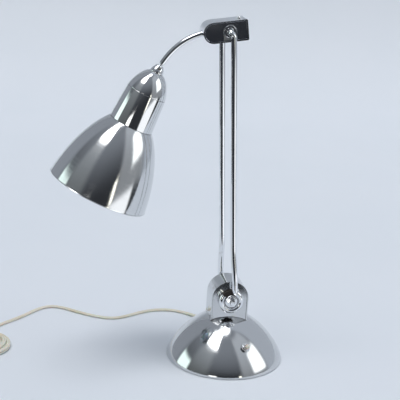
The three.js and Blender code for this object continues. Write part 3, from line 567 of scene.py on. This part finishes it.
def coil_points():
    """Seven turns: three inwards, three outwards on top, and one over them."""
    points = []
    for i in range(int(COIL_LENGTH * COIL_STEPS) + 1):
        turns = i / COIL_STEPS
        angle = COIL_START + turns * 360
        radius, height = COIL_TURNS[0]
        # Where each turn gives way to the next, and over how much, in turns from the start.
        for k, (r, z) in enumerate(COIL_TURNS[1:]):
            begin, width = (0.0, 0.22) if k == 0 else (k - 0.02, 0.2)
            if k == len(COIL_TURNS) - 2:
                begin, width = 6.9, 0.28
            t = ease((turns - begin) / width)
            radius += (r - radius) * t
            height += (z - height) * t
        a = rad(angle)
        points.append((COIL_X + radius * math.cos(a), COIL_Y + radius * math.sin(a), height))
    return points


def flex_section():
    """Two round cores side by side, joined at a narrow waist."""
    core, offset = 1.45, 1.35
    right = arc(offset, 0, core, -150, 150, 10)
    left = [(-x, -y) for x, y in right]
    return right + left


cord_path = smooth_path(CORD_ROUTE + coil_points() + CORD_TAIL, 3.2)
cord = sweep(
    "flex",
    cord_path,
    flex_section(),
    ROOT,
    "base",
    FLEX,
    ("cord_lead", "cord_coil", "cord_tail"),
    level=True,
)
plug = bevelled("plug_body", "base", IVORY, 1.1, "plug")
pins = [
    bevelled(f"plug_pin_{side}", "base", BRASS, 0.3, f"plug_prong_{side}")
    for side in ("left", "right")
]
tie = bevelled("coil_tie", "base", BAKELITE, 0.2, "cord_tie")

# ---- Base ---------------------------------------------------------------------------


DOME_EDGE = DOME_RADIUS - 1  # where the dome's outline meets the rim's roll
DOME_HOLE, DOME_WALL = 4.3, 1.2


def dome_outline(last, offset, steps):
    """The dome from its edge up to a given radius, moved out by an offset."""
    points = []
    for i in range(steps + 1):
        r = DOME_EDGE + (last - DOME_EDGE) * math.sin((i / steps) * math.pi / 2)
        low, high = max(0, r - 0.05), r + 0.05
        slope = (dome_height(high) - dome_height(low)) / (high - low)
        length = math.hypot(slope, 1)
        points.append((max(last, r - slope * offset / length), dome_height(r) + offset / length))
    return points


rim = [(77.4, 3.2), (77.5, 1.2), (78.3, 0.35), (79.3, 0.35), (80, 1.1), (79.95, 2)]
lathe(
    "dome",
    rim + dome_outline(DOME_HOLE, 0, 60) + dome_outline(DOME_HOLE, -DOME_WALL, 40)[::-1],
    ROOT,
    "base",
    SPUN_BASE,
    ("base_shell",),
    sides=192,
)
lathe(
    "felt_disc",
    [(0, 0), (74, 0), (74, 1.5), (0, 1.5)],
    ROOT,
    "base",
    FELT,
    ("felt_pad",),
    edge=0.5,
)

# ---- Bracket ------------------------------------------------------------------------

bevelled("bracket_strap", "base", BRUSHED, 0.7)
for side in ("front", "back"):
    bevelled(f"bracket_plate_{side}", "base", BRUSHED, 0.5)
    bevelled(f"pivot_washer_{side}", "base", CHROME, 0.3)
    bevelled(f"friction_disc_{side}", "arm", FIBRE, 0.3)
    bevelled(f"eye_hub_{side}", "arm", CHROME, 0.8)
bevelled("pivot_nut", "base", CHROME, 0.5)
bevelled("pivot_pin", "base", CHROME, 0.5)

# ---- Switch and gland ---------------------------------------------------------------

lathe(
    "switch_bushing",
    [
        (0, -16),
        (6.5, -16),
        (6.5, -2.5),
        (4, -2.5),
        (4, 5.2),
        (3.3, 5.2),
        (2, -0.6),
        (0, -0.6),
    ],
    SWITCH,
    "base",
    CHROME,
    ("switch_body",),
    edge=0.4,
)
bevelled("switch_nut", "base", CHROME, 0.4)
lathe(
    "switch_lever",
    [(0, -1.1), (1.2, -0.6), (1.35, 3), (2.3, 5.6), (3.1, 8.4)]
    + arc(0, 8.4, 3.1, 10, 80, 8)
    + [(0, 11.5)],
    SWITCH @ shift(0, 0, 0.9) @ turned(rad(8), "X"),
    "toggle",
    IVORY,
    ("switch_toggle",),
    edge=0.1,
    sides=40,
)

WALL = 76.87  # from the axis, 0.34 short of the dome's outside where the cord leaves it
lathe(
    "strain_relief",
    [
        (2.4, WALL - 9),
        (5.8, WALL - 9),
        (5.8, WALL - 6.6),
        (4.6, WALL - 6.6),
        (4.6, WALL + 4.2),
        (4.25, WALL + 9),
        (3.95, WALL + 9.4),
        (3.9, WALL + 12),
        (3.6, WALL + 12.4),
        (3.55, WALL + 15.4),
        (3.3, WALL + 15.8),
        (3.2, WALL + 22),
        (2.4, WALL + 22),
    ],
    CORD_EXIT,
    "base",
    IVORY,
    ("cord_gland",),
    edge=0.5,
    sides=40,
)

# ---- Rods ---------------------------------------------------------------------------

ROD_RADIUS = 4
EYE, KNEE, EYE_PLANE = 13, 9, 24
KNEE_OFFSET, ROD_OFFSET = 5, 3.8  # sideways, at the foot of the straight stretch and along it
HALF_GAP = 19.5  # from the middle plane to the straight stretch
JOG_START, JOG_END, JOG_STEPS = 26, 80, 24
TOP_BEND, TOP_STEPS = 7, 24
ROD_END = 8.6  # from the middle plane, inside the barrel


def rod_path():
    """An open eye, a knee, a jog, the straight stretch and a bend into the barrel."""
    knee = math.acos((KNEE_OFFSET + KNEE) / (EYE + KNEE))
    turn = math.degrees(knee)
    top = (EYE + KNEE) * math.sin(knee)
    flat = arc(0, 0, EYE, 135, 360 + turn, 60)
    flat += arc(KNEE_OFFSET + KNEE, top, KNEE, 180 + turn, 180, 12)[1:]
    path = [(x, -EYE_PLANE, z) for x, z in flat]
    for i in range(JOG_STEPS + 1):
        t = i / JOG_STEPS
        x = KNEE_OFFSET - (KNEE_OFFSET - ROD_OFFSET) * ease(t)
        y = -(EYE_PLANE - (EYE_PLANE - HALF_GAP) * ease(t))
        path.append((x, y, JOG_START + (JOG_END - JOG_START) * t))
    path += [(ROD_OFFSET, -HALF_GAP, JOG_END + 25 * i) for i in range(1, 11)]
    for i in range(TOP_STEPS + 1):
        a = math.pi / 2 * i / TOP_STEPS
        x = ROD_OFFSET * (1 - ease((i + 4) / TOP_STEPS))
        y = -(HALF_GAP - TOP_BEND * (1 - math.cos(a)))
        path.append((x, y, ARM_LENGTH - TOP_BEND + TOP_BEND * math.sin(a)))
    path.append((0, -ROD_END, ARM_LENGTH))
    return path


for side, spin in (("front", 0), ("back", math.pi)):
    sweep(
        f"bent_rod_{side}",
        rod_path(),
        circle(ROD_RADIUS, 32),
        ARM @ turned(spin, "Z"),
        "arm",
        CHROME,
        (f"rod_{side}",),
    )
bevelled("pivot_barrel", "arm", CHROME, 0.6)

# ---- Head and curved arm ------------------------------------------------------------

bevelled("head_band", "head", CHROME, 0.5)
# The cheeks take the darker copy of the chrome, whose colour is painted shade.
for side in ("front", "back"):
    bevelled(f"head_cheek_{side}", "head", CHROME_WITH_PAINTED_SHADE, 0.25)
bevelled("clamp_screw", "head", CHROME, 0.3)

NECK_TUBE_RADIUS, NECK_INSIDE, NECK_STEPS = 3.75, 10.5, 60
BALL_TO_TUBE = 6.8  # from the ball's centre to the tube's end

neck_path = [Vector(NECK_EXIT) - heading(NECK_START) * NECK_INSIDE, Vector(NECK_EXIT)]
for step in range(1, NECK_STEPS + 1):
    neck_path.append(along_neck(NECK_START + NECK_TURN * step / NECK_STEPS))
neck_path.append(ball_in_head - heading(NECK_END) * BALL_TO_TUBE)
sweep(
    "neck_tube",
    neck_path,
    circle(NECK_TUBE_RADIUS, 40),
    HEAD,
    "head",
    CHROME,
    ("curved_arm",),
)

sphere = arc(0, 0, 4.4, -73, 58, 24)
lathe(
    "ball",
    [(1.2, sphere[0][1])]
    + sphere
    + [(2, 4.9), (3.4, 5.6), (3.4, 6.5), (2.35, 6.5), (2.35, 14), (1.2, 14)],
    BALL,
    "head",
    CHROME,
    ("neck_ball",),
    edge=0.2,
    sides=64,
)

# ---- Shade --------------------------------------------------------------------------


def ferrule():
    """The ball's socket, with the slot that lets the stem tilt cut in one side."""
    cavity, grip = 6, 4.7
    lip = math.degrees(math.asin(2.6 / grip))
    entry = -math.degrees(math.acos(3 / cavity))
    outline = [(4.9, 2.6), (5.8, 1.2), (7, -0.9), (8.3, -3.6), (9, -6), (9, -7), (4.9, -7)]
    outline += [(4.9, -31.5), (3, -31.5)]
    outline += arc(0, 0, cavity, entry, -6, 12) + arc(0, 0, grip, -5, lip, 8)
    made = lathe(
        "socket", outline, SHADE, "socket", CHROME, ("ferrule",), edge=0.35, sides=96
    )
    cutter = bmesh.new()
    bmesh.ops.create_cube(
        cutter,
        size=1,
        matrix=Matrix.Translation(Vector((0, -6, 2)) * MM)
        @ Matrix.Diagonal((4.4 * MM, 12 * MM, 8 * MM, 1)),
    )
    mesh = bpy.data.meshes.new("slot_cutter")
    cutter.to_mesh(mesh)
    cutter.free()
    tool = bpy.data.objects.new("slot_cutter", mesh)
    bpy.context.scene.collection.objects.link(tool)
    tool.matrix_world = SHADE
    cut = made.modifiers.new("slot", "BOOLEAN")
    cut.object = tool
    cut.solver = "EXACT"
    bpy.context.view_layer.update()
    evaluated = made.evaluated_get(bpy.context.evaluated_depsgraph_get())
    result = bpy.data.meshes.new_from_object(evaluated)
    made.modifiers.clear()
    made.data = result
    result.set_sharp_from_angle(angle=rad(32))
    bpy.data.objects.remove(tool)


ferrule()
bevelled("ferrule_nut", "socket", BRASS, 0.4)

CAP_END, CAP_RADIUS = 35.7, 26.3


def cap_curve(offset, steps):
    return bezier(
        (9.6 - offset * 0.3, -7.3 - offset),
        (15.5 - offset * 0.6, -9.8 - offset),
        (24.2 - offset, -22.5 - offset * 0.4),
        (CAP_RADIUS - offset, -CAP_END),
        steps,
    )


lathe(
    "cap",
    [(5.2, -7.3)] + cap_curve(0, 40) + cap_curve(1, 24)[::-1] + [(5.2, -8.3)],
    SHADE,
    "shade",
    SPUN_NECK,
    ("shade_cap",),
    edge=0.3,
    sides=160,
)
lathe(
    "neck",
    [
        (24.1, -32.5),
        (24.1, -36),
        (26.4, -36),
        (29.5, -81),
        (28.5, -81),
        (24.1, -38.5),
        (23.1, -37.4),
        (23.1, -32.5),
    ],
    SHADE,
    "shade",
    SPUN_NECK,
    ("shade_neck",),
    edge=0.35,
    sides=160,
)

BELL_TOP, BELL_END, BELL_RADIUS, NECK_RADIUS = 81.3, 178.5, 67.4, 29.5


def bell_curve(offset, steps):
    length, width = BELL_END - BELL_TOP, BELL_RADIUS - NECK_RADIUS
    return bezier(
        (NECK_RADIUS + 0.5 - offset * 0.4, -BELL_TOP - offset * 1.4),
        (NECK_RADIUS + 0.61 * width - offset * 0.7, -BELL_TOP - 0.27 * length - offset * 0.5),
        (BELL_RADIUS - 0.09 * width - offset, -BELL_TOP - 0.69 * length),
        (BELL_RADIUS - offset, -BELL_END),
        steps,
    )


lathe(
    "bell",
    [(27.8, -77.8), (27.8, -81.3)]
    + bell_curve(0, 64)
    + [(68, -179.1), (67.6, -179.8), (66.5, -179.5)]
    + bell_curve(1, 48)[::-1]
    + [(20.1, -82.7), (20.1, -81.7), (26.8, -81.7), (26.8, -77.8)],
    SHADE,
    "shade",
    SPUN_SHADE,
    ("shade_bell",),
    edge=0.3,
    sides=192,
)

# ---- Lampholder and bulb ------------------------------------------------------------

lathe(
    "holder_sleeve",
    [
        (3, -52.7),
        (20.3, -52.7),
        (20.3, -40),
        (22, -40),
        (22, -81.3),
        (19.8, -81.3),
        (19.8, -92),
        (14.2, -92),
        (14.2, -57.7),
        (3, -57.7),
    ],
    SHADE,
    "shade",
    BAKELITE,
    ("holder_body",),
    edge=0.5,
)
lathe(
    "shade_ring",
    [(20.1, -87), (24.5, -87), (24.5, -83), (20.1, -83)],
    SHADE,
    "shade",
    BAKELITE,
    ("holder_ring",),
    edge=0.6,
)
lathe(
    "bulb",
    [(12.6, -84.3), (13.2, -92), (15.6, -100.3), (21.5, -112.3), (27.6, -123.3)]
    + arc(0, -134, 30, 8, -87, 24)
    + [(0, -164), (0, -162.8)]
    + arc(0, -134, 28.8, -87, 8, 20)
    + [(26.4, -123.3), (20.3, -112.3), (14.4, -100.3), (12, -92), (11.4, -84.3)],
    SHADE,
    "shade",
    GLASS,
    ("bulb_glass",),
    edge=0.2,
    sides=128,
    sharp=40,
)


def screw_cap():
    """A screw cap with its rolled thread."""
    outline = [(0, -58), (4.5, -58), (5, -59.5), (11.2, -62)]
    turns = 6
    for i in range(turns * 6 + 1):
        depth = 0.5 - 0.5 * math.cos(2 * math.pi * i / 6)
        outline.append((12.2 + depth, -64 - 17 * i / (turns * 6)))
    return outline + [(13.2, -82), (13.2, -84), (0, -84)]


lathe("screw_cap", screw_cap(), SHADE, "shade", BRASS, ("bulb_cap",), edge=0.2, sides=64)

# ---- The CAD nodes that stay --------------------------------------------------------

slots = {row["node"]: row["material_slot"] for row in frame["record"]["subparts"]}
for node, obj in frame["nodes"].items():
    if not obj.hide_render:
        for place in obj.material_slots:
            place.material = SLOT_MATERIALS[slots[node]]

# ---- Floor and light ----------------------------------------------------------------


def make_floor():
    """A pale table that rises behind into a backdrop and ends in front of the lamp."""
    front, flat_end, curve, height = -0.25, 1.4, 0.8, 3
    profile = [(front, 0), (0, 0), (0.6, 0), (flat_end, 0)]
    for a in range(5, 91, 5):
        profile.append((flat_end + curve * math.sin(rad(a)), curve - curve * math.cos(rad(a))))
    profile.append((flat_end + curve, height))
    left, right = -0.95, 1.7
    vertices = [(x, y, z) for y, z in profile for x in (left, right)]
    faces = [(2 * i, 2 * i + 1, 2 * i + 3, 2 * i + 2) for i in range(len(profile) - 1)]
    mesh = bpy.data.meshes.new("table")
    mesh.from_pydata(vertices, [], faces)
    mesh.polygons.foreach_set("use_smooth", [True] * len(mesh.polygons))
    s = Shader("table_top")
    patches = s.range(s.noise(3, 3, 0.5), 0.3, 0.7, 0, 1)
    mesh.materials.append(
        s.finish(
            Base_Color=s.mix(patches, (0.8, 0.84, 0.9), (0.815, 0.85, 0.91)),
            Roughness=0.6,
            Normal=s.bump(s.noise(300, 3, 0.5), 0.05, 0.0002),
        )
    )
    obj = bpy.data.objects.new("table", mesh)
    bpy.context.scene.collection.objects.link(obj)


def make_room():
    """A studio: pale to the sides, behind and above, dim in front, with bright windows.

    Bearings are from the lamp towards the camera, positive to the right; elevations are
    above the horizon. Both are in degrees. Seen directly, the room is plain and pale.
    """
    world = bpy.data.worlds.new("room")
    bpy.context.scene.world = world
    world.use_nodes = True
    tree = world.node_tree
    tree.nodes.clear()
    add, join = tree.nodes.new, tree.links.new

    def calc(operation, a, b=0.0):
        made = add("ShaderNodeMath")
        made.operation = operation
        for socket, value in zip(made.inputs, (a, b)):
            if isinstance(value, bpy.types.NodeSocket):
                join(value, socket)
            else:
                socket.default_value = value
        return made.outputs[0]

    def ramp(value, start, end):
        made = add("ShaderNodeMapRange")
        made.interpolation_type = "SMOOTHSTEP"
        join(value, made.inputs["Value"])
        made.inputs["From Min"].default_value = start
        made.inputs["From Max"].default_value = end
        return made.outputs["Result"]

    direction = add("ShaderNodeTexCoord").outputs["Generated"]
    spin = add("ShaderNodeMapping")
    spin.vector_type = "NORMAL"
    join(direction, spin.inputs["Vector"])
    spin.inputs["Rotation"].default_value = (0, 0, HEADING)
    split = add("ShaderNodeSeparateXYZ")
    join(spin.outputs["Vector"], split.inputs[0])
    degrees = 180 / math.pi
    towards = calc("MULTIPLY", split.outputs[1], -1.0)
    bearing = calc("MULTIPLY", calc("ARCTAN2", split.outputs[0], towards), degrees)
    elevation = calc("MULTIPLY", calc("ARCSINE", split.outputs[2]), degrees)

    def between(value, low, high, soft):
        return calc("MULTIPLY", ramp(value, low - soft, low + soft), ramp(value, high + soft, high - soft))

    def window(left, right, low, high, soft=3.0):
        across = between(bearing, left, right, soft)
        along = between(elevation, low, high, soft)
        return calc("MULTIPLY", across, along)

    right_side = calc("MULTIPLY", ramp(bearing, 84, 104), 0.72)
    left_side = calc("MULTIPLY", ramp(bearing, -90, -112), 0.45)
    above = calc("MULTIPLY", ramp(elevation, 2, 62), 0.34)
    pale = calc("MAXIMUM", calc("MAXIMUM", right_side, left_side), above)
    base = add("ShaderNodeMix")
    base.data_type = "RGBA"
    join(pale, base.inputs[0])
    base.inputs[6].default_value = (0.035, 0.038, 0.044, 1)
    base.inputs[7].default_value = (0.66, 0.72, 0.81, 1)
    total = base.outputs[2]
    # Each window's place, colour and strength.
    windows = [
        (window(-101, -74, -6, 24), (0.84, 1.0, 0.95), 1.5),
        (window(-74, -30, -5, 60, 8), (0.85, 0.92, 0.9), 0.12),
        (window(-27, -12, -8, 6, 2), (1.0, 1.0, 0.98), 2.4),
        (window(31, 36, -8, 9, 1.5), (1.0, 0.98, 0.86), 2.4),
        (window(32, 74, -42, -9, 3), (0.96, 0.98, 1.0), 1.3),
        (window(38, 92, -10, 70, 5), (0.9, 0.95, 1.0), 0.3),
        (window(64, 94, 10, 42, 4), (0.97, 1.0, 0.99), 1.9),
        (window(-80, -24, 58, 82, 5), (1.0, 1.0, 1.0), 7.5),
        (window(-180, 180, 82, 100, 4), (0.96, 0.98, 1.0), 5.0),
    ]
    for factor, color, strength in windows:
        scaled = add("ShaderNodeVectorMath")
        scaled.operation = "SCALE"
        scaled.inputs[0].default_value = color
        join(calc("MULTIPLY", factor, strength), scaled.inputs["Scale"])
        summed = add("ShaderNodeVectorMath")
        summed.operation = "ADD"
        join(total, summed.inputs[0])
        join(scaled.outputs[0], summed.inputs[1])
        total = summed.outputs[0]
    seen = add("ShaderNodeMix")  # seen directly, past the table, the room is plain and pale
    seen.data_type = "RGBA"
    join(add("ShaderNodeLightPath").outputs["Is Camera Ray"], seen.inputs[0])
    join(total, seen.inputs[6])
    seen.inputs[7].default_value = (0.63, 0.68, 0.76, 1)
    background = add("ShaderNodeBackground")
    background.inputs["Strength"].default_value = 1.0
    join(seen.outputs[2], background.inputs["Color"])
    output = add("ShaderNodeOutputWorld")
    join(background.outputs[0], output.inputs["Surface"])


make_floor()
make_room()
bpy.context.scene.view_settings.view_transform = "Standard"
